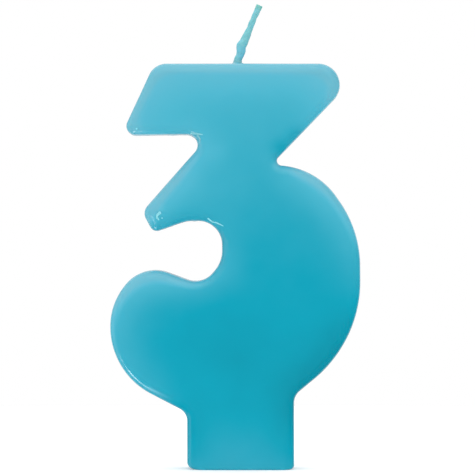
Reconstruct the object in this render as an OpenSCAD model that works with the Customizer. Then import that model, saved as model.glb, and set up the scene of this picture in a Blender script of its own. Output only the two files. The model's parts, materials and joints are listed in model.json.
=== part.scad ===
// Number birthday candle: the numeral 3 cast in white wax round a straight cotton wick,
// dipped in turquoise wax and levelled flat at the foot. The front faces -Y, +X is to the
// right, +Z is up, and the origin is the middle of the foot's underside. Millimetres.

/* [Numeral] */
// Height from the foot's underside to the top of the bar
numeral_h = 72; // [54:1:96]
// Thickness of the dipped numeral, from front face to back face
numeral_t = 11; // [8:0.5:16]
// Radius of the rounded edge between a face and the side wall
edge_r = 1.8; // [1.2:0.1:2.4]

/* [Colour coat] */
// Thickness of the coloured wax that covers the core
coat_t = 0.7; // [0.4:0.1:1]
// Height of the collar of wax that climbs the wick where it leaves the bar
collar_h = 0.4; // [0.2:0.1:0.6]
// How far the collar spreads from the wick at its foot
collar_spread = 0.6; // [0.3:0.1:1]
// Thickness of wax on the lower free stretch of the wick, at its thickest
root_wax_t = 0.35; // [0.2:0.05:0.4]
// Thickness of wax on the free end of the wick, at its thickest
tip_wax_t = 0.25; // [0.15:0.05:0.35]

/* [Wick] */
// Diameter of the plaited cotton wick
wick_d = 0.9; // [0.7:0.1:1.2]
// Length of the lower free stretch, from its bend at the collar to the kink
root_len = 2.2; // [2:0.1:4]
// Length of the free end above the kink
tip_len = 7.9; // [5:0.1:12]
// Lean of the lower free stretch from upright, towards +X
root_lean = 8; // [0:1:20]
// Lean of the free end from upright, towards +X
tip_lean = 23; // [0:1:40]

/* [Hidden] */

// Largest angle that one straight step of a round corner turns through
arc_step = 15;
// Steps in the rounded edge between a face and the side wall
edge_steps = 3;
// Smallest radius that a convex corner keeps when the outline is inset
sharp_r = 0.1;
// Clearance that lets one stretch of wick bend against the next
bend_gap = 0.05;
wick_r = wick_d / 2;
round_fn = 32;

// The numeral's outline, clockwise as seen from the front. Each corner is x and z of the
// point where its two straight edges would meet, then the radius that rounds it. The bowls
// are corners with large radii. The edge from the last corner to the first is the foot's
// underside, and stays at z = 0 when the outline is inset.
DESIGN_H = 72;
FOOT_LEFT = [[-9.5, 0, 1.4], [-9.5, 10.1, 2.4]];
BOWL_LEFT = [[-23.1, 17.2, 13.4], [-23.1, 29.4, 11.5], [-17.4, 36.6, 6.7]];
LEFT_BAY = [[-6.8, 32.7, 4], [-3.3, 36.8, 5.5], [-3.3, 44.1, 4.2], [-9.5, 44.1, 7]];
MIDDLE_ARM = [[-15.5, 42, 1.4], [-17.5, 45.7, 2.1]];
LEFT_NOTCH = [[-5.3, 59.5, 1.9]];
TOP_BAR = [[-21.2, 59.3, 1.6], [-15.3, 72, 3.4], [22.7, 72, 3.8]];
RIGHT_NOTCH = [[5.5, 54.1, 0.85]];
BOWL_RIGHT = [[13.5, 53.4, 13], [21.2, 42.3, 20], [21.3, 22.9, 22.5]];
FOOT_RIGHT = [[9.5, 13.1, 2.8], [9.5, 0, 0.8]];
CORNERS = [
    for (c = concat(
        FOOT_LEFT, BOWL_LEFT, LEFT_BAY, MIDDLE_ARM, LEFT_NOTCH,
        TOP_BAR, RIGHT_NOTCH, BOWL_RIGHT, FOOT_RIGHT))
    c * numeral_h / DESIGN_H
];
corner_count = len(CORNERS);

// Corner i of the closed outline, edge i from corner i to the next, and its inward normal
function corner(i) = let (c = CORNERS[(i + corner_count) % corner_count]) [c.x, c.y];
function edge(i) = let (e = corner(i + 1) - corner(i)) e / norm(e);
function inward(i) = let (e = edge(i)) [e.y, -e.x];

// How far edge i moves in when the outline is inset by d
function edge_inset(i, d) = (i + corner_count) % corner_count == corner_count - 1 ? 0 : d;

// Signed turn at corner i, negative where the outline is convex
function turn(i) =
    let (a = edge(i - 1), b = edge(i))
    atan2(a.x * b.y - a.y * b.x, a * b);

// Where corner i goes when the edges on its two sides are inset
function inset_corner(i, d) =
    let (
        a = inward(i - 1),
        b = inward(i),
        da = edge_inset(i - 1, d),
        db = edge_inset(i, d)
    )
    corner(i) + [da * b.y - db * a.y, db * a.x - da * b.x] / (a.x * b.y - a.y * b.x);

// Radius of corner i when the outline is inset: less if convex, more if concave
function inset_radius(i, d) =
    let (both = min(edge_inset(i - 1, d), edge_inset(i, d)))
    max(sharp_r, CORNERS[i][2] + sign(turn(i)) * both);

// The points of the arc that rounds corner i
function corner_arc(i, d) =
    let (
        t = turn(i),
        r = inset_radius(i, d),
        start = inset_corner(i, d) - edge(i - 1) * r * tan(abs(t) / 2),
        centre = start - sign(t) * inward(i - 1) * r,
        spoke = start - centre,
        steps = ceil(abs(t) / arc_step)
    )
    [
        for (k = [0:steps])
        let (a = t * k / steps)
        centre + [spoke.x * cos(a) - spoke.y * sin(a), spoke.x * sin(a) + spoke.y * cos(a)]
    ];

// The whole outline inset by d, in the plane at depth y
function outline(d, y) = [
    for (i = [0:corner_count - 1])
    for (p = corner_arc(i, d))
    [p.x, y, p.y]
];

// Section through the wax from the front face round to the back face: each step is an
// inset and a depth. skin is how deep this surface lies below the coat's surface.
function section(skin) =
    let (half_t = numeral_t / 2 - skin, r = edge_r - skin)
    [
        for (side = [-1, 1])
        for (k = [0:edge_steps])
        let (a = 90 * (side < 0 ? k : edge_steps - k) / edge_steps)
        [skin + r * (1 - sin(a)), side * (half_t - r + r * cos(a))]
    ];

function surface_points(skin) = [for (s = section(skin)) each outline(s[0], s[1])];

// Twice the area of triangle abc, as x and z show it, negative where it runs clockwise
function turn_area(a, b, c) = (b.x - a.x) * (c.z - a.z) - (b.z - a.z) * (c.x - a.x);
function in_triangle(p, a, b, c) =
    turn_area(a, b, p) <= 0 && turn_area(b, c, p) <= 0 && turn_area(c, a, p) <= 0;

// Corner k of a clockwise loop and its two neighbours, which are an ear to cut off where
// the corner is convex and the triangle holds no other point of the loop
function ear(loop, k) =
    let (n = len(loop)) [loop[(k + n - 1) % n], loop[k % n], loop[(k + 1) % n]];
function is_ear(points, e, loop) =
    turn_area(points[e[0]], points[e[1]], points[e[2]]) < 0 &&
    len([
        for (i = loop)
        if (len(search(i, e)) == 0 &&
            in_triangle(points[i], points[e[0]], points[e[1]], points[e[2]]))
        i
    ]) == 0;
function next_ear(points, loop, k) =
    is_ear(points, ear(loop, k), loop) ? k % len(loop) : next_ear(points, loop, k + 1);

// The triangles that fill a closed clockwise loop, found by cutting off one ear at a time
function filled(points, loop, from = 0) =
    len(loop) == 3 ? [loop] :
    let (k = next_ear(points, loop, from))
    concat(
        [ear(loop, k)],
        filled(points, [for (i = [0:len(loop) - 1]) if (i != k) loop[i]], k + 1));

// A face as its other side shows it, still starting at the same point
function flipped(face) = [for (i = [0:len(face) - 1]) face[(len(face) - i) % len(face)]];

// Faces of a surface of rings: its front cap, its back cap and the bands between the rings.
// first is the index of its first point, and columns is how many steps of each band it has.
function surface_faces(points, first, rings, ring_len, columns) =
    let (cap = filled(points, [for (i = [0:ring_len - 1]) first + i]))
    concat(
        cap,
        [for (f = cap) [for (i = flipped(f)) i + (rings - 1) * ring_len]],
        [
            for (j = [0:rings - 2])
            for (i = [0:columns - 1])
            let (
                a = first + j * ring_len + i,
                b = first + j * ring_len + (i + 1) % ring_len
            )
            [a, a + ring_len, b + ring_len, b]
        ]
    );

// The numeral as one closed solid, with its surface at depth skin below the coat's
module numeral_solid(skin) {
    points = surface_points(skin);
    rings = len(section(skin));
    ring_len = len(points) / rings;
    polyhedron(points, surface_faces(points, 0, rings, ring_len, ring_len));
}

// The numeral as a shell of thickness coat_t, open at the foot's underside
module numeral_shell() {
    outer = surface_points(0);
    points = concat(outer, surface_points(coat_t));
    rings = len(section(0));
    ring_len = len(outer) / rings;
    to_inner = len(outer);
    last = ring_len - 1;
    back = (rings - 1) * ring_len;
    outer_faces = surface_faces(points, 0, rings, ring_len, last);
    inner_faces = surface_faces(points, to_inner, rings, ring_len, last);
    foot_ends = [
        for (j = [0:rings - 2])
        let (a = j * ring_len, b = a + last)
        each [
            [a, a + to_inner, a + to_inner + ring_len, a + ring_len],
            [b, b + ring_len, b + to_inner + ring_len, b + to_inner]
        ]
    ];
    foot_front_and_back = [
        [0, last, last + to_inner, to_inner],
        [back + last, back, back + to_inner, back + last + to_inner]
    ];
    polyhedron(
        points,
        concat(
            outer_faces,
            [for (f = inner_faces) flipped(f)],
            foot_ends,
            foot_front_and_back));
}

// The two bends of the free wick: where it leaves the collar, and the kink above it
collar_top = numeral_h + collar_h;
root_bend_z = collar_top + bend_gap + wick_r;
kink_x = root_len * sin(root_lean);
kink_z = root_bend_z + root_len * cos(root_lean);

module at_root_bend() translate([0, 0, root_bend_z]) rotate([0, root_lean, 0]) children();
module at_kink() translate([kink_x, 0, kink_z]) rotate([0, tip_lean, 0]) children();

// A straight stretch of wick that starts in a half ball at its bend
module wick_stretch(length) {
    cylinder(h = length, r = wick_r, $fn = round_fn);
    sphere(r = wick_r, $fn = round_fn);
}

// A sleeve of wax on a stretch of wick: thickest at bulge_z, and thin at both ends
module wick_wax(from_z, to_z, bulge_z, thickness) {
    thin = 0.1;
    rotate_extrude($fn = round_fn)
        polygon([
            [wick_r, from_z],
            [wick_r + thin, from_z],
            [wick_r + thickness, bulge_z],
            [wick_r + thin, to_z],
            [wick_r, to_z]
        ]);
}

module wax_core() {
    color("ivory")
        difference() {
            numeral_solid(coat_t);
            translate([0, 0, -1])
                cylinder(h = numeral_h + 2, r = wick_r, $fn = round_fn);
        }
}

module colour_coat() {
    color([0.16, 0.65, 0.74])
        difference() {
            union() {
                numeral_shell();
                translate([0, 0, numeral_h - coat_t / 2])
                    cylinder(
                        h = collar_h + coat_t / 2,
                        r1 = wick_r + collar_spread * (1 + coat_t / 2 / collar_h),
                        r2 = wick_r + bend_gap,
                        $fn = round_fn);
            }
            translate([0, 0, numeral_h / 2])
                cylinder(h = numeral_h, r = wick_r, $fn = round_fn);
        }
}

module wick_in_core() {
    color("whitesmoke")
        cylinder(h = collar_top, r = wick_r, $fn = round_fn);
}

module wick_root() {
    color("whitesmoke")
        at_root_bend()
            wick_stretch(root_len - wick_r - bend_gap);
}

module wick_root_wax() {
    top = root_len - wick_r - bend_gap;
    color([0.42, 0.76, 0.8])
        at_root_bend()
            wick_wax(wick_r, top, 0.75 * top, root_wax_t);
}

module wick_tip() {
    color("whitesmoke")
        at_kink()
            wick_stretch(tip_len);
}

module wick_tip_wax() {
    color([0.42, 0.76, 0.8])
        at_kink()
            wick_wax(wick_r, 0.95 * tip_len, 0.2 * tip_len, tip_wax_t);
}

wax_core();
colour_coat();
wick_in_core();
wick_root();
wick_root_wax();
wick_tip();
wick_tip_wax();
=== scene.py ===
"""Looks of the number birthday candle: a numeral 3 dipped in glossy turquoise wax, with a waxed,
plaited cotton wick. Shapes are worked out in millimetres in the CAD's frame, and turned into
metres when a mesh is made. The front of the numeral faces -Y."""

import json
import math

import bpy
import numpy as np
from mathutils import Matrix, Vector, noise
from mathutils.geometry import delaunay_2d_cdt


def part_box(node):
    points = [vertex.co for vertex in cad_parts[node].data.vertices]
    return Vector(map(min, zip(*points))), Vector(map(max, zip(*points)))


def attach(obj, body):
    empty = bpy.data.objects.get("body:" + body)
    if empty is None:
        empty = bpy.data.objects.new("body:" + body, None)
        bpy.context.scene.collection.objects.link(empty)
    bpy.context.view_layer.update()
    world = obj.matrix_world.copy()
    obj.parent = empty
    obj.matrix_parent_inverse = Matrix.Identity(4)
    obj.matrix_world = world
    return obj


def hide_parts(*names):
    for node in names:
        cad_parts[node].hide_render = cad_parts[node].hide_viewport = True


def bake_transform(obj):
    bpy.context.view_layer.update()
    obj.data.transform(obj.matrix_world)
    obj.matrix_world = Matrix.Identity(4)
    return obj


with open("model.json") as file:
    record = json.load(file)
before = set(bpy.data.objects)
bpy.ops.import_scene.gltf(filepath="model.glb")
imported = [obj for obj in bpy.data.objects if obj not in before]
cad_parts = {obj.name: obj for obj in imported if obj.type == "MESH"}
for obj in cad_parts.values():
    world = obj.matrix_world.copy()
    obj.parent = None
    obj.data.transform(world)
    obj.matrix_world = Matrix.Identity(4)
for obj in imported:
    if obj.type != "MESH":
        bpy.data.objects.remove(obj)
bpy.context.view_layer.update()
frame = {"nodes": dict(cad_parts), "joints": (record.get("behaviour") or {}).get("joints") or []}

MM = 0.001
FULL_TURN = 2 * math.pi


def in_mm(point):
    return np.array(point) / MM


# ---------------------------------------------------------------- sizes from the frame

coat_high = in_mm(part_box("colour_coat")[1])
core_high = in_mm(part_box("wax_core")[1])
wick_low, wick_high = map(in_mm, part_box("wick_in_core"))
tip_high = in_mm(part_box("wick_tip")[1])
ROOT_BEND, KINK = (in_mm(joint["pos_m"]) for joint in frame["joints"])

HALF_T = coat_high[1]
COAT_T = coat_high[1] - core_high[1]
NUMERAL_H = core_high[2] + COAT_T
WICK_R = wick_high[0]

# ---------------------------------------------------------------- the numeral's outline

# The CAD's outline, clockwise as seen from the front: x and z of each corner, the radius that
# rounds it, how much drained wax gathered there, from 0 to 1, and how light the coat is painted
# at the corner and halfway to the next one, from 0 to about 1, or below 0 where it is painted
# darker. This is partly the pale core showing through a thin coat and partly painted light: the
# upper and left edges are painted lighter, as lit from above and the left, and the lower right
# edges darker, as painted shade. The edge from the last corner to the first is the foot's
# underside, which stays at z = 0 when it is inset.
CORNERS = [
    # the foot's left side, and the left bowl
    (-9.5, 0, 1.4, 0, -0.1, -0.35), (-9.5, 10.1, 2.4, 0.5, -0.1, 0.45),
    (-23.1, 17.2, 13.4, 1, 0.5, 0.52), (-23.1, 29.4, 11.5, 0, 0.68, 1.05),
    (-17.4, 36.6, 6.7, 0, 1.15, 1),
    # the bay, and the middle arm
    (-6.8, 32.7, 4, 0, 0.66, 0.5), (-3.3, 36.8, 5.5, 0, 0.5, 0.3), (-3.3, 44.1, 4.2, 1, 0.15, 0),
    (-9.5, 44.1, 7, 0.7, -0.1, -0.1), (-15.5, 42, 1.4, 0.5, 0, 0.5),
    (-17.5, 45.7, 2.1, 0, 1.25, 1),
    # the left notch, the top bar, and the right notch
    (-5.3, 59.5, 1.9, 0.9, 0.6, 0.3), (-21.2, 59.3, 1.6, 0.4, 0.7, 1), (-15.3, 72, 3.4, 0, 1, 1.05),
    (22.7, 72, 3.8, 0, 1.3, 0.15), (5.5, 54.1, 0.85, 0.2, 0, 0.9),
    # the right bowl, and the foot's right side
    (13.5, 53.4, 13, 0, 1.05, 0.8), (21.2, 42.3, 20, 0, 0.62, 0.2),
    (21.3, 22.9, 22.5, 0.3, -0.4, -0.6), (9.5, 13.1, 2.8, 0.2, -0.5, -0.4),
    (9.5, 0, 0.8, 0, -0.3, 0),
]
EDGE_R = 1.8
SHARP_R = 0.1
OUTLINE_STEP = 0.33
ARC_STEP = math.radians(5)

corner_xz = np.array([c[:2] for c in CORNERS], float)
corner_r = np.array([c[2] for c in CORNERS], float)
corner_count = len(CORNERS)
edges = np.roll(corner_xz, -1, axis=0) - corner_xz
edges /= np.linalg.norm(edges, axis=1)[:, None]
inward = np.stack([edges[:, 1], -edges[:, 0]], axis=1)
turns = np.array([
    math.atan2(a[0] * b[1] - a[1] * b[0], a @ b)
    for a, b in zip(np.roll(edges, 1, axis=0), edges)
])


def corner_arcs(inset):
    """Start, centre and end of every corner's arc when the outline is inset."""
    arcs = []
    for i in range(corner_count):
        before = inset if i > 0 else 0
        after = inset if i < corner_count - 1 else 0
        a, b = inward[i - 1], inward[i]
        shift = np.array([before * b[1] - after * a[1], after * a[0] - before * b[0]])
        corner = corner_xz[i] + shift / (a[0] * b[1] - a[1] * b[0])
        radius = max(SHARP_R, corner_r[i] + math.copysign(min(before, after), turns[i]))
        reach = radius * math.tan(abs(turns[i]) / 2)
        start = corner - edges[i - 1] * reach
        centre = start - math.copysign(radius, turns[i]) * a
        arcs.append((start, centre, corner + edges[i] * reach))
    return arcs


def turned(vector, angle):
    c, s = math.cos(angle), math.sin(angle)
    return np.array([vector[0] * c - vector[1] * s, vector[0] * s + vector[1] * c])


# Where the columns of the mesh stand along the outline: the corner or edge that each is on,
# and how far along it. It is the same for every inset, so that the rings join column to column.
columns = []
plain_arcs = corner_arcs(0)
for i, (_, _, end) in enumerate(plain_arcs):
    arc_steps = math.ceil(abs(turns[i]) * max(corner_r[i] / OUTLINE_STEP, 1 / ARC_STEP))
    columns += [("arc", i, k / arc_steps) for k in range(arc_steps + 1)]
    next_start = plain_arcs[(i + 1) % corner_count][0]
    edge_steps = math.ceil(np.linalg.norm(next_start - end) / OUTLINE_STEP)
    columns += [("edge", i, k / edge_steps) for k in range(1, edge_steps)]
column_count = len(columns)
foot_columns = [c for c, (kind, i, _) in enumerate(columns)
                if kind == "edge" and i == corner_count - 1]
foot_end = foot_columns[0] - 1


def ring(inset):
    """The outline inset by that much, as one x and z for each column."""
    arcs = corner_arcs(inset)
    points = []
    for kind, i, along in columns:
        start, centre, end = arcs[i]
        if kind == "arc":
            points.append(centre + turned(start - centre, turns[i] * along))
        else:
            points.append(end + (arcs[(i + 1) % corner_count][0] - end) * along)
    return np.array(points)


def column_normal(kind, i, along):
    return turned(-inward[i - 1], turns[i] * along) if kind == "arc" else -inward[i]


outline = ring(0)
outline_normal = np.array([column_normal(*c) for c in columns])
step_length = np.linalg.norm(np.roll(outline, -1, axis=0) - outline, axis=1)
outline_length = np.concatenate([[0], np.cumsum(step_length)[:-1]])
total_length = step_length.sum()
corner_middle = np.array([
    np.mean([outline_length[c] for c, (kind, at, _) in enumerate(columns)
             if kind == "arc" and at == i])
    for i in range(corner_count)
])
edge_middle = (corner_middle + np.append(corner_middle[1:], total_length + corner_middle[0])) / 2


def along_outline(places, values):
    """Values at some places along the outline, spread evenly from each place to the next."""
    return np.interp(outline_length, places, values, period=total_length)


outline_lip = along_outline(corner_middle, [c[3] for c in CORNERS])
# Along the outline: partly a thin coat, partly painted light and shade on the edges
outline_thin_and_light = along_outline(np.stack([corner_middle, edge_middle], axis=1).ravel(),
                             np.array([c[4:] for c in CORNERS]).ravel())

# How many points are compared with the outline at a time, which keeps the tables small
POINTS_AT_ONCE = 4000


def near_outline(points, reach, weight):
    """A smooth field: the outline's weight as felt from each point, fading over reach."""
    weight = weight * (step_length + np.roll(step_length, 1)) / 2
    weight[foot_columns] = 0
    total = []
    for block in np.array_split(points, max(1, len(points) // POINTS_AT_ONCE)):
        gap = ((block[:, None, :] - outline[None, :, :]) ** 2).sum(axis=2)
        total.append(np.exp(-gap / (2 * reach ** 2)) @ weight)
    return np.concatenate(total) / (reach * math.sqrt(FULL_TURN))


# ---------------------------------------------------------------- mesh helpers


def new_object(name, vertices_mm, faces, material, smooth=True):
    mesh = bpy.data.meshes.new(name)
    mesh.from_pydata([tuple(v * MM for v in p) for p in vertices_mm], [], faces)
    mesh.validate()
    mesh.polygons.foreach_set("use_smooth", [smooth] * len(mesh.polygons))
    mesh.update()
    obj = bpy.data.objects.new(name, mesh)
    bpy.context.scene.collection.objects.link(obj)
    mesh.materials.append(material)
    return obj


def store(obj, name, values):
    """Keeps one number for each vertex, for the material to read."""
    attribute = obj.data.attributes.new(name, "FLOAT", "POINT")
    attribute.data.foreach_set("value", np.asarray(values, np.float32))


def band(first, second, wrap=True):
    """Quads between two rows of vertex numbers."""
    count = len(first) if wrap else len(first) - 1
    pairs = [(k, (k + 1) % len(first)) for k in range(count)]
    return [(first[a], first[b], second[b], second[a]) for a, b in pairs]


def bands(rows, wrap=True):
    """Quads between each row of vertex numbers and the next."""
    faces = []
    for low, high in zip(rows, rows[1:]):
        faces += band(low, high, wrap)
    return faces


def fan(pole, row):
    """Triangles from one vertex to a closed row of vertex numbers."""
    return [(pole, a, b) for a, b in zip(row, row[1:] + row[:1])]


def new_rows(first, count, width):
    """The vertex numbers of that many rows, one after another, from the first number on."""
    return np.arange(first, first + count * width).reshape(count, width).tolist()


def smoothstep(values, low, high):
    t = np.clip((values - low) / (high - low), 0, 1)
    return t * t * (3 - 2 * t)


def bell(values, middle, width):
    """1 at the middle, fading smoothly to 0 on both sides of it."""
    return np.exp(-((values - middle) / width) ** 2)


def ripple(points, size, seed):
    """Smooth noise between -1 and 1 at each point, with features of that size."""
    offset = Vector((seed * 17.3, seed * 5.1, seed * 9.7))
    return np.array([noise.noise(Vector(p) / size + offset) for p in points])


def waves(points, layers):
    """Layers of smooth noise, each with its strength, the size of its features and its seed."""
    return sum(strength * ripple(points, size, seed) for strength, size, seed in layers)


# ---------------------------------------------------------------- the wick

# The plait: how far one turn of it goes, its round strands and how far they swing to the sides
# and to the front and back, and the least that it reaches from its middle
PLAIT_PITCH = 4.2
STRAND_COUNT = 3
STRAND_R = 0.23
SWING_WIDE = 0.22
SWING_DEEP = 0.11
LEAST_REACH = 0.05

# The steps of the mesh along the free wick and round it, and along the wick in the core, which
# ends at that depth below the bar's top
RING_STEP = 0.06
AROUND = 48
BURIED_STEP = 0.3
BURIED_DEPTH = 0.5

# Way points of the wick's middle. Below and at the bar's top: x, y, and the height above the
# bar. Above it: how far along its stretch each point is, and how far the wick strays there from
# the straight line, in x, y and z.
BAR_WAY = [(-0.1, 0, -1.2), (-0.22, 0, 0)]
ROOT_WAY = [(0, -0.28, 0, 0), (0.55, -0.13, 0, 0)]
TIP_WAY = [(0, -0.16, 0, 0.1), (0.15, -0.12, 0.04, 0), (0.4, -0.04, 0.08, 0),
           (0.7, -0.08, -0.03, 0)]
WAY_STEPS = 40

# How far below the wick's highest point its middle ends, as a share of its radius
END_SHORT = 0.05

# How far the waxed wick reaches to the left and to the right of its middle, by its height above
# the bar: the lump at the kink, and the plain run above it
GIRTH = [
    (-0.4, 1.13, 0.52), (0.38, 1.13, 0.52), (0.8, 0.9, 0.54), (1.5, 0.72, 0.64),
    (2.3, 0.78, 0.82), (3.4, 0.9, 0.88), (4.1, 0.76, 0.78), (5.4, 0.66, 0.66),
    (6.6, 0.53, 0.53), (7.3, 0.56, 0.56), (8.2, 0.48, 0.5), (9.4, 0.54, 0.56), (10.6, 0.58, 0.57),
]

# How much of the plait shows through its wax, the plait's usual reach as a share of the wick's
# radius, and the heights between which the plait comes out
STRAND_SHOWS = 0.35
STRAND_MEAN = 0.85
STRANDS_FROM, STRANDS_FULL = 1, 3

# Small lumps of wax, as waves, and the heights between which they begin
WICK_LUMPS = [(0.05, 0.9, 9), (0.01, 0.35, 10)]
LUMPS_FROM, LUMPS_FULL = 0.3, 1

# The wax's tone along the wick: its plain run, how much lower it is in the lump, how much darker
# the painted shade in the crease on the lump's right is, and how much higher at the cut end
PLAIN_TONE = 1.3
LUMP_TONE, LUMP_AT, LUMP_LENGTH = 0.25, 2.2, 1.4
CREASE_SHADE, CREASE_AT, CREASE_LENGTH = 0.15, 1.45, 0.3
CREASE_FROM, CREASE_FULL = -0.4, 0.5
END_TONE, END_FROM, END_FULL = 0.35, 9.5, 10.2
WICK_TONE_WAVES = [(0.12, 0.9, 11), (0.08, 0.3, 12)]
LOWEST_TONE, HIGHEST_TONE = 0.5, 1.7

# The directions round the wick in which its surface is worked out: across, and to the back
angles = np.linspace(0, FULL_TURN, AROUND, endpoint=False)
DIRECTIONS = np.stack([np.cos(angles), np.sin(angles)], axis=1)
TO_BACK = np.array([0, 1, 0])


def smooth_way(way):
    """Points along a smooth curve through the way points (a Catmull-Rom spline)."""
    dense = []
    for k in range(len(way) - 1):
        p0, p1, p2, p3 = (way[max(k - 1, 0)], way[k], way[k + 1], way[min(k + 2, len(way) - 1)])
        for t in np.linspace(0, 1, WAY_STEPS, endpoint=False):
            dense.append(0.5 * (2 * p1 + (p2 - p0) * t + (2 * p0 - 5 * p1 + 4 * p2 - p3) * t ** 2
                                + (3 * p1 - p0 - 3 * p2 + p3) * t ** 3))
    return np.array(dense + [way[-1]])


def wick_path():
    """Points along the middle of the free wick, a ring step apart, from inside the bar, and how
    far along it each is."""
    lean = math.atan2(tip_high[0] - KINK[0] - WICK_R, tip_high[2] - KINK[2])
    end = np.array([tip_high[0] - WICK_R * math.cos(lean), 0,
                    tip_high[2] - END_SHORT * WICK_R])
    way = [np.array([x, y, NUMERAL_H + height]) for x, y, height in BAR_WAY]
    for start, stop, stretch in ((ROOT_BEND, KINK, ROOT_WAY), (KINK, end, TIP_WAY)):
        way += [start * (1 - share) + stop * share + stray for share, *stray in stretch]
    dense = smooth_way(way + [end])
    run = np.concatenate([[0], np.cumsum(np.linalg.norm(np.diff(dense, axis=0), axis=1))])
    at = np.linspace(0, run[-1], round(run[-1] / RING_STEP) + 1)
    return np.stack([np.interp(at, run, dense[:, axis]) for axis in range(3)], axis=1), at


def strand_reach(distance):
    """How far the plait's strands reach from its middle, in each direction, that far along it."""
    reach = np.full(AROUND, LEAST_REACH)
    for k in range(STRAND_COUNT):
        swing = FULL_TURN * (distance / PLAIT_PITCH + k / STRAND_COUNT)
        centre = np.array([SWING_WIDE * math.sin(swing), SWING_DEEP * math.sin(2 * swing)])
        forward = DIRECTIONS @ centre
        aside = centre @ centre - forward ** 2
        hit = np.where(aside < STRAND_R ** 2,
                       forward + np.sqrt(np.clip(STRAND_R ** 2 - aside, 0, None)), 0)
        reach = np.maximum(reach, hit)
    return reach


def girth(height):
    """How far the wick's wax reaches from its middle, in each direction, at that height."""
    heights, left, right = np.array(GIRTH).T
    left, right = np.interp(height, heights, left), np.interp(height, heights, right)
    return (left + right) / 2 + (right - left) / 2 * DIRECTIONS[:, 0]


def wick_reach(height, distance, place):
    """The girth, with the plait showing through it and the wax's own lumps."""
    shows = STRAND_SHOWS * smoothstep(height, STRANDS_FROM, STRANDS_FULL)
    plait = shows * (strand_reach(distance) - WICK_R * STRAND_MEAN)
    return (girth(height) + plait
            + waves(place, WICK_LUMPS) * smoothstep(height, LUMPS_FROM, LUMPS_FULL))


def wick_tones_and_shade(height, place):
    """The wax's tone round the wick at that height, with painted shade on the lump's right."""
    lump = LUMP_TONE * bell(height, LUMP_AT, LUMP_LENGTH)
    # Painted shade in the crease on the lump's right
    crease_shade = CREASE_SHADE * bell(height, CREASE_AT, CREASE_LENGTH)
    on_right = smoothstep(DIRECTIONS[:, 0], CREASE_FROM, CREASE_FULL)
    cut_end = END_TONE * smoothstep(height, END_FROM, END_FULL)
    tone = PLAIN_TONE - lump - crease_shade * on_right + cut_end + waves(place, WICK_TONE_WAVES)
    return np.clip(tone, LOWEST_TONE, HIGHEST_TONE)


def wick_rings(path, run):
    """The wick's surface and tone, one ring for each point of its path."""
    tangent = np.gradient(path, axis=0)
    tangent /= np.linalg.norm(tangent, axis=1)[:, None]
    rings, tones_and_shade = [], []
    for point, along, distance in zip(path, tangent, run):
        axes = np.stack([np.cross(TO_BACK, along), TO_BACK])
        place = point + DIRECTIONS @ axes
        height = point[2] - NUMERAL_H
        reach = wick_reach(height, distance, place)
        rings.append(point + (reach[:, None] * DIRECTIONS) @ axes)
        tones_and_shade.append(wick_tones_and_shade(height, place))
    return np.array(rings), np.array(tones_and_shade)


def make_run(name, rings, tones_and_shade, bottom, top, material):
    """A stretch of the wick, closed at its bottom and top points."""
    vertices = [tuple(p) for p in rings.reshape(-1, 3)] + [tuple(bottom), tuple(top)]
    rows = new_rows(0, len(rings), AROUND)
    bottom_pole, top_pole = len(vertices) - 2, len(vertices) - 1
    faces = bands(rows) + fan(bottom_pole, rows[0][::-1]) + fan(top_pole, rows[-1])
    piece = new_object(name, vertices, faces, material)
    store(piece, "tone_and_painted_light", np.append(tones_and_shade.ravel(), [tones_and_shade[0].mean(), tones_and_shade[-1].mean()]))
    return piece


def make_wick(material):
    """The free wick in two pieces, and the point halfway between its two bends where they
    meet."""
    path, run = wick_path()
    rings, tones_and_shade = wick_rings(path, run)
    cut = int(np.argmin(abs(path[:, 2] - (ROOT_BEND[2] + KINK[2]) / 2)))
    pieces = []
    for name, first, last in (("wick_lower_run", 0, cut), ("wick_upper_run", cut, len(path) - 1)):
        stretch = slice(first, last + 1)
        pieces.append(make_run(name, rings[stretch], tones_and_shade[stretch], path[first], path[last],
                               material))
    return pieces, path[cut]


def make_buried_wick(material):
    """The plaited wick inside the core, from its cut end in the foot up into the top bar."""
    vertices = []
    heights = np.arange(wick_low[2], NUMERAL_H - BURIED_DEPTH, BURIED_STEP)
    for height in heights:
        vertices += [(x, y, height) for x, y in DIRECTIONS * strand_reach(height)[:, None]]
    rows = new_rows(0, len(heights), AROUND)
    faces = bands(rows) + [tuple(rows[0][::-1]), tuple(rows[-1])]
    return new_object("plaited_wick_in_core", vertices, faces, material)


# ---------------------------------------------------------------- the coat's tone and painted light

# The coat is painted lighter in a band at the rounded edge, which starts and is full at those
# values of the outline's field, and in a soft fringe inside it: how much lighter, and how far it
# reaches. The band is partly a thin coat over the pale core and partly a painted highlight; the
# fringe is painted light.
RIM_THIN_AND_HIGHLIGHT, RIM_REACH = 0.75, 1.7
RIM_FROM, RIM_FULL = 0.4, 0.85
FRINGE_LIGHT, FRINGE_REACH = 0.4, 3

# It is also painted lighter towards the top, from a height on and over a length, as painted
# light from above, and towards the foot, as painted light bounced up from the floor
TOP_LIGHT, TOP_FROM, TOP_OVER, TOP_POWER = 0.38, 20, 49, 2.4
FOOT_LIGHT, FOOT_OVER, FOOT_POWER = 0.17, 12, 1.6
TONE_WAVES = [(0.025, 6, 7), (0.015, 2.5, 8)]

# Patches painted lighter or darker: x, z, radius and change of tone. The two darkest, by the
# right notch, are painted shade there.
PATCHES = [
    (6.4, 54, 0.7, 0.35), (7.8, 53.9, 0.8, 0.35), (9.4, 53.8, 0.9, 0.2),
    (7.2, 57, 1.9, -0.24), (9.6, 59.4, 1.7, -0.16),
    (-2, 48.8, 5.5, 0.06), (-9.5, 49, 4.5, 0.1), (-4.2, 56.2, 2, 0.08),
    (-12, 67, 5, 0.05), (8, 68.5, 6, -0.04), (-8, 30.5, 4, -0.06),
    (-19, 25, 4.5, 0.025), (0, 20, 8, -0.08),
]

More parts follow.
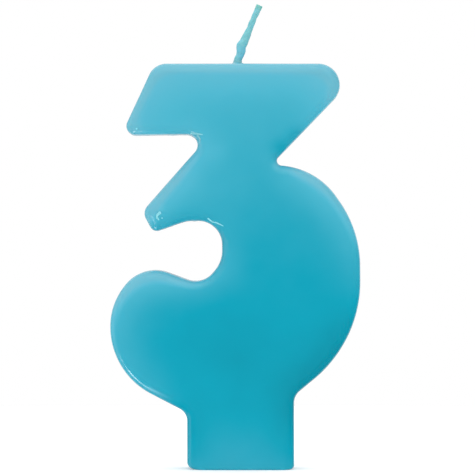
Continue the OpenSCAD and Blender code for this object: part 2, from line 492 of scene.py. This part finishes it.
# The tone of the cut edge under the foot, and of the meniscus round the wick
EDGE_TONE = 0.15
MENISCUS_TONE = 1


def spot(points, x, z, radius, sharpness=1):
    """A soft round spot seen from the front: 1 at its middle, fading round its radius."""
    gap = ((points[:, 0] - x) ** 2 + (points[:, 2] - z) ** 2) / radius ** 2
    return np.exp(-sharpness * gap)


def tone_and_painted_light(points):
    """The coat's tone at each vertex, partly how thinly it covers the pale core and partly painted
    light and shade: below 0 at its darkest, 1 at its lightest.
    """
    xz, height = points[:, [0, 2]], points[:, 2]
    # The rim band and the fringe paint the edges' light and shade, top paints light from above, and
    # foot paints light bounced up from the floor
    rim = RIM_THIN_AND_HIGHLIGHT * smoothstep(near_outline(xz, RIM_REACH, outline_thin_and_light), RIM_FROM, RIM_FULL)
    fringe_light = FRINGE_LIGHT * near_outline(xz, FRINGE_REACH, outline_thin_and_light)
    top = TOP_LIGHT * np.clip((height - TOP_FROM) / TOP_OVER, 0, 1) ** TOP_POWER
    foot = FOOT_LIGHT * np.clip(1 - height / FOOT_OVER, 0, 1) ** FOOT_POWER
    mottling_and_patches = waves(points, TONE_WAVES)
    # The patches paint spots lighter and darker; the darkest, by the right notch, are painted shade
    for x, z, radius, change in PATCHES:
        mottling_and_patches += change * spot(points, x, z, radius)
    return 1 - (1 - rim) * (1 - fringe_light) * (1 - top) * (1 - foot) + mottling_and_patches


# ---------------------------------------------------------------- the coat's relief

# The front and back faces rise from their edges to a slight crown
CROWN = 0.3
CROWN_REACH = 3.2
COAT_WAVES = [(0.035, 8, 1), (0.012, 3.2, 2)]

# Drained wax: a lip along the rounded edge of the faces, and drips on the parting line in the
# middle of the wall. A share is what of the height stands without the waves.
LIP_TILT = math.radians(34)
LIP_TILT_WAVES = [(0.12, 5, 4)]
LIP_WIDTH = 0.2
LIP_HEIGHT = 0.1
LIP_SHARE = 0.6
LIP_WAVES = [(0.8, 3, 3)]
PARTING_WIDTH = 0.13
PARTING_HEIGHT = 0.03
PARTING_SHARE = 0.6
PARTING_WAVES = [(0.4, 2, 6)]
DRIP_HEIGHT = 0.12
DRIP_SHARE = 0.1
DRIP_WAVES = [(1.5, 0.9, 5)]
DRIPS_FROM, DRIPS_FULL = 0.4, 0.9

# Swellings of the front face: x, z, radius and height
SWELLINGS = [(-14, 45.5, 1.3, 0.4)]
SWELLING_SHARPNESS = 2.5

# Gaps below this, in millimetres, count as none
NO_GAP = 1e-6


def lip_height(tilts, lips, place):
    """The lip of drained wax along the rounded edges of both faces."""
    side_tilt = np.minimum(tilts, math.pi - tilts)
    across = (side_tilt - LIP_TILT - waves(place, LIP_TILT_WAVES)) * EDGE_R
    return LIP_HEIGHT * lips * (LIP_SHARE + waves(place, LIP_WAVES)) * bell(across, 0, LIP_WIDTH)


def parting_height(points, normals, insets, lips, place):
    """The parting line in the middle of the wall, with ragged drips where wax hung from it."""
    on_wall = bell(points[:, 1], 0, PARTING_WIDTH) * (insets < NO_GAP)
    drips = np.clip(DRIP_SHARE + waves(place, DRIP_WAVES), 0, 1)
    below = smoothstep(-normals[:, 2], DRIPS_FROM, DRIPS_FULL) * lips
    line = PARTING_HEIGHT * (PARTING_SHARE + waves(place, PARTING_WAVES))
    return on_wall * (line + DRIP_HEIGHT * drips * below)


def relief(points, normals, insets, tilts, lips, along):
    """How far the wax stands proud of its plain shape at each vertex."""
    place = np.stack([along, 0 * along, 0 * along], axis=1)
    height = waves(points, COAT_WAVES) + lip_height(tilts, lips, place)
    height += parting_height(points, normals, insets, lips, place)
    for x, z, radius, swell in SWELLINGS:
        height += swell * spot(points, x, z, radius, SWELLING_SHARPNESS) * (points[:, 1] < 0)
    return height


# ---------------------------------------------------------------- the coat's surface

# The rings: the steps round the edge's rounding, and each ring's distance from the middle of
# the wall, closer together towards the parting line
FILLET_STEPS = 18
WALL_YS = [3.0, 2.2, 1.5, 1.0, 0.7, 0.45, 0.3, 0.18, 0.09]

# The lattice inside the faces, how many of its steps it stays clear of their edge, and the
# least area of a triangle there, as a share of the square of its longest side
FACE_STEP = 0.45
FACE_CLEARANCE = 0.4
SLIVER = 1e-4

# How far the socket in the foot goes up
SOCKET_DEPTH = 1.5


def section(skin):
    """From the front face round to the back face: inset, y, and the tilt of the surface from
    the face, at depth skin below the coat's surface."""
    radius = EDGE_R - skin
    wall_y = HALF_T - EDGE_R
    steps = []
    for k in range(FILLET_STEPS + 1):
        tilt = math.pi / 2 * k / FILLET_STEPS
        steps.append((skin + radius * (1 - math.sin(tilt)),
                      -wall_y - radius * math.cos(tilt), tilt))
    steps += [(skin, -y, math.pi / 2) for y in WALL_YS]
    steps += [(skin, 0, math.pi / 2)]
    return steps + [(inset, -y, math.pi - tilt) for inset, y, tilt in reversed(steps[:-1])]


def is_inside(points, loop):
    """Whether each point is inside a closed loop, by counting the edges to its right."""
    a, b = loop, np.roll(loop, -1, axis=0)
    x, z = points[:, None, 0], points[:, None, 1]
    crosses = (a[:, 1] > z) != (b[:, 1] > z)
    rise = np.where(a[:, 1] == b[:, 1], 1, b[:, 1] - a[:, 1])
    at_x = a[:, 0] + (z - a[:, 1]) / rise * (b - a)[:, 0]
    return (crosses & (x < at_x)).sum(axis=1) % 2 == 1


def fills_face(triangles, loop):
    """Whether each triangle lies inside the loop, and isn't a sliver along a straight edge."""
    a, b = triangles[:, 1] - triangles[:, 0], triangles[:, 2] - triangles[:, 0]
    area = abs(a[:, 0] * b[:, 1] - a[:, 1] * b[:, 0]) / 2
    longest = np.linalg.norm(triangles - np.roll(triangles, 1, axis=1), axis=2).max(axis=1)
    return is_inside(triangles.mean(axis=1), loop) & (area > SLIVER * longest ** 2)


def face_points():
    """A lattice inside the flat of a face, clear of its edge."""
    edge = ring(EDGE_R)
    low, high = edge.min(axis=0), edge.max(axis=0)
    row_step = FACE_STEP * math.sqrt(3) / 2
    lattice = []
    for row, z in enumerate(np.arange(low[1], high[1], row_step)):
        x = np.arange(low[0] + FACE_STEP / 2 * (row % 2), high[0], FACE_STEP)
        lattice += [(px, z) for px in x]
    lattice = np.array(lattice)
    gap = np.sqrt(((lattice[:, None, :] - edge[None, :, :]) ** 2).sum(axis=2)).min(axis=1)
    return lattice[is_inside(lattice, edge) & (gap > FACE_CLEARANCE * FACE_STEP)]


def surface_part(xz, y, normals, inset, tilt, lips, along):
    """What relief reads, for vertices that share their y, inset and tilt."""
    count = len(xz)
    return {
        "points": np.stack([xz[:, 0], np.full(count, y), xz[:, 1]], axis=1),
        "normals": normals,
        "insets": np.full(count, inset),
        "tilts": np.full(count, tilt),
        "lips": lips,
        "along": along,
    }


def coat_surface(steps, inner):
    """The coat's plain surface: its rings, then the lattice of the front face and of the back."""
    parts = []
    for inset, y, tilt in steps:
        out = outline_normal * math.sin(tilt)
        facing = np.full(column_count, -math.cos(tilt))
        normals = np.stack([out[:, 0], facing, out[:, 1]], axis=1)
        parts.append(surface_part(ring(inset), y, normals, inset, tilt, outline_lip,
                                  outline_length))
    zeros = np.zeros(len(inner))
    for side, tilt in ((-1, 0), (1, math.pi)):
        normals = np.tile([0, side, 0], (len(inner), 1))
        parts.append(surface_part(inner, side * HALF_T, normals, EDGE_R, tilt, zeros, zeros))
    return {name: np.concatenate([part[name] for part in parts]) for name in parts[0]}


def shaped(surface):
    """The surface's points with the faces' crown and the wax's relief, and a level foot."""
    height = relief(**surface)
    height[surface["points"][:, 2] < NO_GAP] = 0
    points = surface["points"].copy()
    edge_near = near_outline(points[:, [0, 2]], CROWN_REACH, np.ones(column_count))
    points[:, 1] *= 1 - CROWN / HALF_T * edge_near
    return points + surface["normals"] * height[:, None]


def wall_faces(rows):
    """Quads between the rings, all the way round except along the foot's underside."""
    wall_columns = [c for c in range(column_count) if c not in foot_columns]
    return bands([[row[c] for c in wall_columns] for row in rows], wrap=False)


def flat_faces(rows, inner):
    """Triangles that fill the front face and the back face, out to the first and last ring."""
    flat = np.concatenate([ring(EDGE_R), inner])
    rim = [(c, (c + 1) % column_count) for c in range(column_count)]
    made = delaunay_2d_cdt([Vector(p) for p in flat], rim, [], 0, NO_GAP, True)
    source = [ids[0] for ids in made[3]]
    triangles = np.array([[source[k] for k in triangle] for triangle in made[2]])
    front_inner, back_inner = new_rows(len(rows) * column_count, 2, len(inner))
    front = rows[0] + front_inner
    back = rows[-1] + back_inner
    faces = []
    for ids in triangles[fills_face(flat[triangles], flat[:column_count])]:
        faces += [tuple(front[k] for k in ids), tuple(back[k] for k in reversed(ids))]
    return faces


def around_foot(rows):
    """Goes once round the foot's underside, in rows that hold one item for each column."""
    walk = [row[foot_end] for row in rows] + [rows[-1][c] for c in foot_columns]
    walk += [row[0] for row in reversed(rows)]
    return walk + [rows[0][c] for c in reversed(foot_columns)]


def add_socket(vertices, faces, tones_and_light, rows):
    """The coat's cut edge under the foot, and the socket that the core fills."""
    outer = around_foot(rows)
    edge = around_foot([[(x, y) for x, _ in ring(inset)] for inset, y, _ in section(COAT_T)])
    rim, roof = new_rows(len(vertices), 2, len(edge))
    vertices += [(x, y, height) for height in (0, SOCKET_DEPTH) for x, y in edge]
    faces += band(rim, outer) + band(roof, rim) + [tuple(roof[::-1])]
    tones_and_light += [EDGE_TONE] * (2 * len(edge))


# ---------------------------------------------------------------- trickles and meniscus

# Thin trickles of wax on the front face: their tone, lighter than the coat's, which paints their
# highlights, the trickle's radius, and x and z of the points that it runs through
TRICKLES = [
    (1.8, 0.22, (-18.4, 60.4)), (1.8, 0.15, (-13.9, 44.6)),
    (1.85, 0.3, (-14.3, 45.5), (-14.75, 45.1), (-14.8, 44.7), (-14.5, 44.3)),
    (1.7, 0.22, (-8.7, 59.65), (-7.9, 59.55), (-6.8, 59.35)),
    (1.6, 0.2, (-7.6, 59.3), (-7.15, 58.6), (-7.3, 57.9)),
    (2, 0.2, (-5.7, 44.5), (-5, 43.95), (-4.3, 43.75)), (1.9, 0.16, (-4.4, 43.85), (-3.1, 43.2)),
    (1.7, 0.1, (-16.4, 44.5), (-16.1, 43.6), (-15.75, 42.95)),
]
PEARL_ROWS, PEARL_SIDES = 6, 10

# As shares of a pearl's radius: the step from pearl to pearl, how far they get smaller along
# the trickle, and how deep their middles are sunk
PEARL_STEP = 0.5
PEARL_TAPER = 0.5
PEARL_SUNK = 0.3

# The front's depth under a pearl is that of the nearest vertices, the closer the more
NEAREST_COUNT = 4
LEAST_GAP = 1e-4

# The meniscus of the coat round the wick's foot, and how far it goes on inside the wick
MENISCUS_REACH = 1.9
MENISCUS_HEIGHT = 0.36
MENISCUS_SLOPE = 0.5
MENISCUS_SUNK = 0.06
MENISCUS_INSIDE = 0.4
MENISCUS_ROWS = 40


def front_y(front, x, z):
    """How far forward the front of the coat stands at that x and z."""
    gap = (front[:, 0] - x) ** 2 + (front[:, 2] - z) ** 2
    near = np.argsort(gap)[:NEAREST_COUNT]
    weight = 1 / (gap[near] + LEAST_GAP)
    return (front[near, 1] * weight).sum() / weight.sum()


def add_pearl(vertices, faces, centre, radius):
    """A closed ball of wax, from its back pole to its front pole."""
    x, y, z = centre
    back = len(vertices)
    vertices.append((x, y + radius, z))
    rows = new_rows(back + 1, PEARL_ROWS - 1, PEARL_SIDES)
    for k in range(1, PEARL_ROWS):
        rise = math.pi * (k / PEARL_ROWS - 0.5)
        wide = radius * math.cos(rise)
        for turn in np.linspace(0, FULL_TURN, PEARL_SIDES, endpoint=False):
            vertices.append((x + wide * math.cos(turn), y - radius * math.sin(rise),
                             z + wide * math.sin(turn)))
    front = len(vertices)
    vertices.append((x, y - radius, z))
    faces += bands(rows) + fan(back, rows[0][::-1]) + fan(front, rows[-1])


def add_trickles(vertices, faces, tones_and_light):
    """Rows of overlapping pearls of wax, half sunk into the front face."""
    front = np.array([p for p in vertices if p[1] < 0])
    for tone, radius, *way in TRICKLES:
        way = np.array(way, float)
        run = np.concatenate([[0], np.cumsum(np.linalg.norm(np.diff(way, axis=0), axis=1))])
        count = max(1, math.ceil(run[-1] / (PEARL_STEP * radius)))
        for at in np.linspace(0, run[-1], count):
            x, z = np.interp(at, run, way[:, 0]), np.interp(at, run, way[:, 1])
            size = radius * (1 - PEARL_TAPER * (at / run[-1]) ** 2 if run[-1] else 1)
            add_pearl(vertices, faces, (x, front_y(front, x, z) + PEARL_SUNK * size, z), size)
        # The trickles' light tone is a painted highlight
        tones_and_light += [tone] * (len(vertices) - len(tones_and_light))


def add_meniscus(vertices, faces, tones_and_light):
    """Wax drawn up round the foot of the wick, closed inside it."""
    path, _ = wick_path()
    rows = new_rows(len(vertices), MENISCUS_ROWS, AROUND)
    for spread in np.linspace(MENISCUS_REACH, -MENISCUS_INSIDE, MENISCUS_ROWS):
        height = MENISCUS_HEIGHT * math.exp(-spread / MENISCUS_SLOPE) - MENISCUS_SUNK
        x = np.interp(NUMERAL_H + height, path[:, 2], path[:, 0])
        reach = spread + girth(height)
        vertices += [(x + across, deep, NUMERAL_H + height)
                     for across, deep in reach[:, None] * DIRECTIONS]
    faces += bands(rows) + [tuple(rows[0][::-1]), tuple(rows[-1])]
    tones_and_light += [MENISCUS_TONE] * (len(vertices) - len(tones_and_light))


def make_coat(material):
    """The whole coat: its rings, both faces, the foot's underside, trickles and meniscus."""
    steps = section(0)
    inner = face_points()
    surface = coat_surface(steps, inner)
    rows = new_rows(0, len(steps), column_count)
    vertices = [tuple(p) for p in shaped(surface)]
    tones_and_light = list(tone_and_painted_light(surface["points"]))
    faces = wall_faces(rows) + flat_faces(rows, inner)
    add_socket(vertices, faces, tones_and_light, rows)
    add_trickles(vertices, faces, tones_and_light)
    add_meniscus(vertices, faces, tones_and_light)
    coat = new_object("dipped_coat", vertices, faces, material)
    store(coat, "tone_and_painted_light", tones_and_light)
    return coat


# ---------------------------------------------------------------- materials


def new_material(name, **inputs):
    """A material whose shader has those inputs, named as in Blender with _ for a space."""
    material = bpy.data.materials.new(name)
    material.use_nodes = True
    tree = material.node_tree
    shader = tree.nodes["Principled BSDF"]
    for key, value in inputs.items():
        shader.inputs[key.replace("_", " ")].default_value = value
    return material, tree, shader


def node(tree, kind, **settings):
    made = tree.nodes.new(kind)
    for key, value in settings.items():
        setattr(made, key, value)
    return made


def mix_colours(tree, factor, first, second):
    mix = node(tree, "ShaderNodeMix", data_type="RGBA")
    tree.links.new(factor, mix.inputs[0])
    mix.inputs[6].default_value = first
    mix.inputs[7].default_value = second
    return mix.outputs[2]


def noise_at(tree, size_mm, detail=2.0):
    """Noise in the object's own space, with features of that size."""
    place = node(tree, "ShaderNodeTexCoord")
    made = node(tree, "ShaderNodeTexNoise")
    made.inputs["Scale"].default_value = 1 / (size_mm * MM)
    made.inputs["Detail"].default_value = detail
    tree.links.new(place.outputs["Object"], made.inputs["Vector"])
    return made.outputs["Fac"]


def bump(tree, shader, height, depth_mm):
    made = node(tree, "ShaderNodeBump")
    made.inputs["Distance"].default_value = depth_mm * MM
    tree.links.new(height, made.inputs["Height"])
    tree.links.new(made.outputs["Normal"], shader.inputs["Normal"])


# The coat's colour by its tone, from the darkest to the lightest: below 0 is painted shade, from
# 0 to 1 the coat runs from thicker to thinner with painted light on its edges, and above 1 are the
# trickles' painted highlights
WAX_COLOURS_AND_LIGHT = [
    (-0.25, (0.0, 0.24, 0.325, 1)),
    (0.0, (0.0, 0.322, 0.44, 1)),
    (0.4, (0.067, 0.42, 0.55, 1)),
    (0.65, (0.1, 0.44, 0.57, 1)),
    (1.0, (0.14, 0.43, 0.535, 1)),
    (1.5, (0.215, 0.54, 0.63, 1)),
    (2.0, (0.25, 0.75, 0.88, 1)),
]

# The same for the wax on the wick, which turns greener where it is thin over the cotton
WICK_COLOURS = [
    (0.5, (0.12, 0.46, 0.58, 1)),
    (1.0, (0.175, 0.555, 0.69, 1)),
    (1.3, (0.18, 0.51, 0.555, 1)),
    (1.7, (0.19, 0.51, 0.47, 1)),
]
PARAFFIN_COLOURS = (0.72, 0.7, 0.6, 1), (0.84, 0.82, 0.74, 1)
COTTON_COLOURS = (0.6, 0.57, 0.48, 1), (0.82, 0.8, 0.72, 1)


def ramp(tree, value, stops):
    """A colour for each value, from the stops' values and colours."""
    low, high = stops[0][0], stops[-1][0]
    scale = node(tree, "ShaderNodeMapRange")
    scale.inputs["From Min"].default_value = low
    scale.inputs["From Max"].default_value = high
    tree.links.new(value, scale.inputs["Value"])
    made = node(tree, "ShaderNodeValToRGB")
    elements = made.color_ramp.elements
    while len(elements) < len(stops):
        elements.new(0.5)
    for element, (at, colour) in zip(elements, stops):
        element.position = (at - low) / (high - low)
        element.color = colour
    tree.links.new(scale.outputs["Result"], made.inputs["Fac"])
    return made.outputs["Color"]


def wax_material(name, colours, roughness, coat):
    """Turquoise wax, whose colour follows a vertex attribute of its tone, which holds painted light
    and shade.
    """
    material, tree, shader = new_material(
        name, Roughness=roughness, Specular_IOR_Level=0.4, Coat_Weight=coat, Coat_Roughness=0.08,
        Subsurface_Weight=0.3, Subsurface_Radius=(0.3, 0.8, 1.0), Subsurface_Scale=0.2 * MM)
    tones_and_light = node(tree, "ShaderNodeAttribute", attribute_name="tone_and_painted_light")
    base = ramp(tree, tones_and_light.outputs["Fac"], colours)
    tree.links.new(base, shader.inputs["Base Color"])
    bump(tree, shader, noise_at(tree, size_mm=0.8), depth_mm=0.01)
    return material


def core_material():
    """Pale paraffin, cut level and matt."""
    material, tree, shader = new_material(
        "cut_paraffin", Roughness=0.55, Subsurface_Weight=0.4, Subsurface_Radius=(1, 0.9, 0.7),
        Subsurface_Scale=1 * MM)
    base = mix_colours(tree, noise_at(tree, size_mm=1.5), *PARAFFIN_COLOURS)
    tree.links.new(base, shader.inputs["Base Color"])
    bump(tree, shader, noise_at(tree, size_mm=0.5, detail=4), depth_mm=0.03)
    return material


def cotton_material():
    """Undyed cotton, with its fibres as a fine bump."""
    material, tree, shader = new_material("plaited_cotton", Roughness=0.8)
    base = mix_colours(tree, noise_at(tree, size_mm=0.15), *COTTON_COLOURS)
    tree.links.new(base, shader.inputs["Base Color"])
    bump(tree, shader, noise_at(tree, size_mm=0.08, detail=3), depth_mm=0.04)
    return material


# ---------------------------------------------------------------- studio

WHITE = (1, 1, 1, 1)
WORLD_STRENGTH = 1.0
FLOOR_R = 260
FLOOR_SIDES = 96
FLOOR_COLOUR = (0.93, 0.93, 0.93, 1)
FLOOR_GLOW = 0.15

# The camera stands level with the middle of the candle, a little to its left, far in front of
# it, and sees SEEN_HEIGHT at the edge of the front face. It shows what is between the two
# clipping distances, which are in metres.
CAMERA_X, CAMERA_Z = -0.55, 41.15
SEEN_HEIGHT = 84.2
LENS, SENSOR = 300, 36
CLIP_START, CLIP_END = 0.01, 20

# One wide softbox, bent over the candle from above the camera to behind the top: the height
# angles of its ends in degrees, in how many strips, and from which angle on it is at its full
ARC_RADIANCE = 0.64
ARC_DISTANCE = 480
ARC_SHIFT = -100
ARC_WIDTH = 1400
ARC_FIRST, ARC_LAST, ARC_STRIPS = 2, 130, 8
ARC_FULL = 60
ARC_FADE = 0.6


def floor_material():
    """Pale and matt, and glowing a little, so that it ends in the studio's white."""
    return new_material("pale_floor", Base_Color=FLOOR_COLOUR, Roughness=0.9,
                        Emission_Color=WHITE, Emission_Strength=FLOOR_GLOW)[0]


def make_floor():
    """A round table top under the candle."""
    turns_round = np.linspace(0, FULL_TURN, FLOOR_SIDES, endpoint=False)
    rim = [(FLOOR_R * math.cos(t), FLOOR_R * math.sin(t), 0) for t in turns_round]
    floor = new_object("floor", rim, [tuple(range(len(rim)))], floor_material(), smooth=False)
    floor.visible_glossy = False


def make_world():
    """White light from all round, which doesn't show in the gloss."""
    world = bpy.data.worlds.new("studio")
    bpy.context.scene.world = world
    world.use_nodes = True
    background = world.node_tree.nodes["Background"]
    background.inputs["Color"].default_value = WHITE
    background.inputs["Strength"].default_value = WORLD_STRENGTH
    world.cycles_visibility.glossy = False


def faded(tree, across, fade):
    """A factor that falls smoothly to 0 at both ends of a light, over that share of its half."""
    offset = node(tree, "ShaderNodeMath", operation="SUBTRACT")
    offset.inputs[1].default_value = 0.5
    tree.links.new(across, offset.inputs[0])
    away = node(tree, "ShaderNodeMath", operation="ABSOLUTE")
    tree.links.new(offset.outputs[0], away.inputs[0])
    share = node(tree, "ShaderNodeMapRange", interpolation_type="SMOOTHSTEP")
    share.inputs["From Min"].default_value = 0.5
    share.inputs["From Max"].default_value = 0.5 - fade / 2
    tree.links.new(away.outputs[0], share.inputs["Value"])
    return share.outputs["Result"]


def fade_light(data, fade_wide, fade_high):
    """Makes a light fall off to its edges, as a softbox does."""
    data.use_nodes = True
    tree = data.node_tree
    place = node(tree, "ShaderNodeNewGeometry")
    apart = node(tree, "ShaderNodeSeparateXYZ")
    tree.links.new(place.outputs["Parametric"], apart.inputs[0])
    both = node(tree, "ShaderNodeMath", operation="MULTIPLY")
    for k, fade in enumerate((fade_wide, fade_high)):
        if fade:
            tree.links.new(faded(tree, apart.outputs[k], fade), both.inputs[k])
        else:
            both.inputs[k].default_value = 1
    tree.links.new(both.outputs[0], tree.nodes["Emission"].inputs["Strength"])


def area_light(name, place_mm, target_mm, size_mm, radiance, fade=(0, 0)):
    """A light of that width and height, fading to its edges over those shares of them. The
    camera doesn't see it."""
    data = bpy.data.lights.new(name, "AREA")
    data.shape = "RECTANGLE"
    data.size, data.size_y = (length * MM for length in size_mm)
    data.energy = radiance * math.pi * data.size * data.size_y
    fade_light(data, *fade)
    light = bpy.data.objects.new(name, data)
    bpy.context.scene.collection.objects.link(light)
    light.location = Vector(place_mm) * MM
    aim = Vector(target_mm) - Vector(place_mm)
    light.rotation_euler = aim.to_track_quat("-Z", "Y").to_euler()
    light.visible_camera = False
    return light


def make_camera():
    """Level with the middle of the candle, and without tilt."""
    data = bpy.data.cameras.new("camera")
    data.lens, data.sensor_width = LENS, SENSOR
    data.clip_start, data.clip_end = CLIP_START, CLIP_END
    camera = bpy.data.objects.new("camera", data)
    bpy.context.scene.collection.objects.link(camera)
    bpy.context.scene.camera = camera
    distance = SEEN_HEIGHT * LENS / SENSOR
    camera.location = Vector((CAMERA_X, EDGE_R - HALF_T - distance, CAMERA_Z)) * MM
    camera.rotation_euler = (math.pi / 2, 0, 0)
    bpy.context.scene.view_settings.view_transform = "Standard"


def make_softbox_arc():
    """The bent softbox, dimmer towards its front end."""
    middle = np.array([ARC_SHIFT, 0, NUMERAL_H / 2])
    opening = math.radians(ARC_LAST - ARC_FIRST) / ARC_STRIPS
    strip_size = (ARC_WIDTH, 2 * ARC_DISTANCE * math.tan(opening / 2))
    for k in range(ARC_STRIPS):
        rise = math.radians(ARC_FIRST) + opening * (k + 0.5)
        away = np.array([0, -math.cos(rise), math.sin(rise)])
        share = float(smoothstep(math.degrees(rise), 0, ARC_FULL))
        area_light(f"softbox_{k + 1}", middle + away * ARC_DISTANCE, middle, strip_size,
                   ARC_RADIANCE * share, fade=(ARC_FADE, 0))


def make_cards():
    """Cards that only show as reflections in the gloss: the backdrop, one at the left, and two
    small ones that draw the highlights on the left edges."""
    cards = [
        area_light("backdrop_card", (0, 250, 40), (0, 0, 40), (700, 700), radiance=0.75),
        area_light("left_card", (-250, 0, 40), (0, 0, 40), (160, 400), radiance=0.6,
                   fade=(0.3, 0.3)),
        area_light("low_card", (-31, -7, 9.2), (-31, -7, 50), (36, 9), radiance=9,
                   fade=(0.8, 0.8)),
        area_light("side_card", (-26, -20, 38), (-22, -16, 50), (12, 9), radiance=2.5,
                   fade=(0.8, 0.8)),
    ]
    for card in cards:
        card.visible_diffuse = False


def make_foot_fill():
    """A soft light on the foot that doesn't show in the gloss."""
    fill = area_light("foot_fill", (0, -34, 2), (0, 0, 2), (34, 8), radiance=1.2)
    fill.visible_glossy = False


make_camera()
make_floor()
make_world()
make_softbox_arc()
make_cards()
make_foot_fill()

# ---------------------------------------------------------------- the candle

coat_wax = wax_material("dipped_turquoise_wax", WAX_COLOURS_AND_LIGHT, roughness=0.18, coat=0.45)
wick_wax = wax_material("wax_on_wick", WICK_COLOURS, roughness=0.35, coat=0.4)
coat = make_coat(coat_wax)
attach(coat, "candle")
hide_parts("colour_coat")

(lower, upper), meeting = make_wick(wick_wax)
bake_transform(lower)
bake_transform(upper)
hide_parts("wick_root", "wick_root_wax")
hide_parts("wick_tip", "wick_tip_wax")

buried_wick = make_buried_wick(cotton_material())
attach(buried_wick, "candle")
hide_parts("wick_in_core")

core = frame["nodes"]["wax_core"]
core.data.materials.clear()
core.data.materials.append(core_material())
